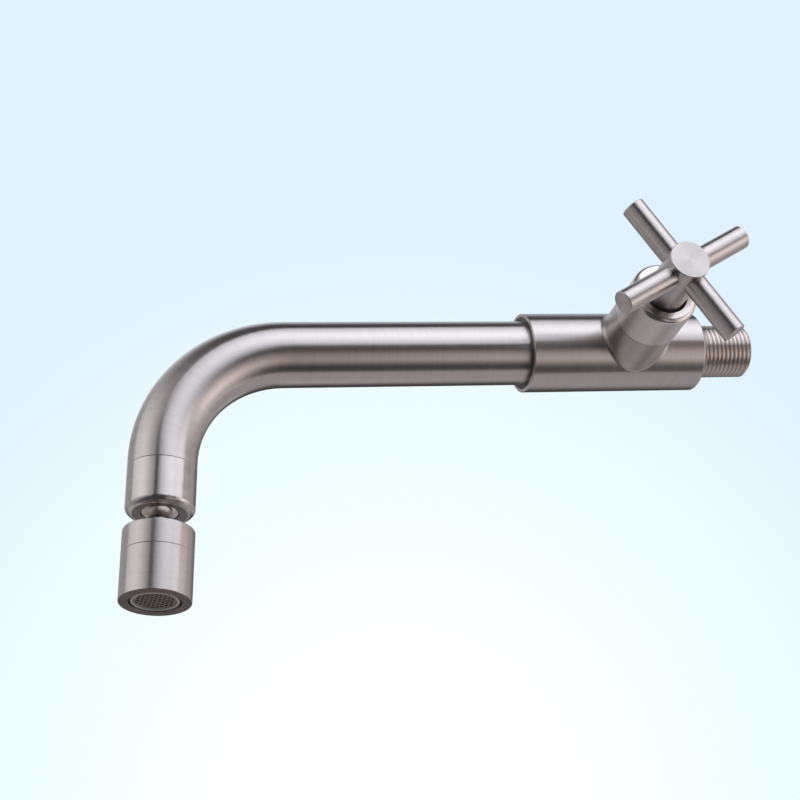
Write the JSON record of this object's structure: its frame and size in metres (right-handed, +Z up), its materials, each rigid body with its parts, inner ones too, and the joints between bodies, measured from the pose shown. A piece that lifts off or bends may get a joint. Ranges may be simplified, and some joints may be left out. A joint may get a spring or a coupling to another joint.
{
  "type": "wall-mounted basin faucet",
  "caption": "Wall-mounted basin tap in brushed steel: threaded inlet, side cross handle, swivelling bent spout and a ball-jointed outlet head.",
  "frame": {"origin": "centre of the valve body's rear face, where the inlet thread starts and the tap meets the wall", "axes": "+Y into the wall along the inlet thread, -Y along the spout, +X out along the handle's axis, +Z up"},
  "size_m": [0.0867, 0.2615, 0.1275],
  "materials": {
    "satin_steel": "brushed stainless steel",
    "turned_steel": "turned stainless steel",
    "polished_steel": "polished",
    "brass": "turned",
    "rubber": "matt",
    "ceramic": "lapped ceramic",
    "black_plastic": "turned acetal",
    "white_plastic": "sliding plastic",
    "grey_plastic": "moulded acetal"
  },
  "bodies": {
    "body": {"valve_body": "satin_steel", "inlet_nipple": "turned_steel", "collar_sleeve": "satin_steel", "cartridge_housing": "brass", "cartridge_o_ring": "rubber", "seat_gasket": "rubber", "ceramic_disc_fixed": "ceramic", "spout_glide_ring": "black_plastic"},
    "handle": {"ceramic_disc_moving": "ceramic", "spindle": "brass", "spindle_o_rings": "rubber", "friction_washer": "white_plastic", "spindle_circlip": "turned_steel", "handle_hub": "satin_steel", "handle_arm_1": "satin_steel", "handle_arm_2": "satin_steel", "handle_arm_3": "satin_steel", "handle_arm_4": "satin_steel", "handle_set_screw": "turned_steel"},
    "spout": {"spout_spigot": "brass", "spout_o_rings": "rubber", "spout_snap_ring": "turned_steel", "spout_tube": "satin_steel", "spout_end_insert": "brass", "ring_o_ring": "rubber", "swivel_ring": "satin_steel", "ball_retaining_ring": "turned_steel"},
    "ball_cup": {"ball_seat": "white_plastic"},
    "ball": {"swivel_ball": "polished_steel", "stem_o_ring": "rubber", "stem_circlip": "turned_steel"},
    "head": {"head_cap": "satin_steel", "aerator_shell": "satin_steel", "aerator_gasket": "rubber", "strainer_cup": "grey_plastic", "jet_plate": "grey_plastic", "mixing_sleeve": "grey_plastic", "mixing_screens": "turned_steel", "outlet_grid": "grey_plastic", "aerator_core": "grey_plastic"}
  },
  "joints": [
    {"name": "handle_turn", "type": "hinge", "parent": "body", "child": "handle", "pos_m": [0.0642, -0.0299, 0], "axis": [1, 0, 0], "range_deg": [0, 90]},
    {"name": "spout_swivel", "type": "hinge", "parent": "body", "child": "spout", "pos_m": [0, -0.07255, 0], "axis": [0, 1, 0], "continuous": true},
    {"name": "ball_spin", "type": "hinge", "parent": "spout", "child": "ball_cup", "pos_m": [0, -0.22022, -0.05839], "axis": [0, -0.1392, -0.9903], "continuous": true},
    {"name": "ball_tilt", "type": "hinge", "parent": "ball_cup", "child": "ball", "pos_m": [0, -0.22022, -0.05839], "axis": [1, 0, 0], "range_deg": [-20, 20]},
    {"name": "head_spin", "type": "hinge", "parent": "ball", "child": "head", "pos_m": [0, -0.22216, -0.07216], "axis": [0, -0.1392, -0.9903], "continuous": true}
  ]
}
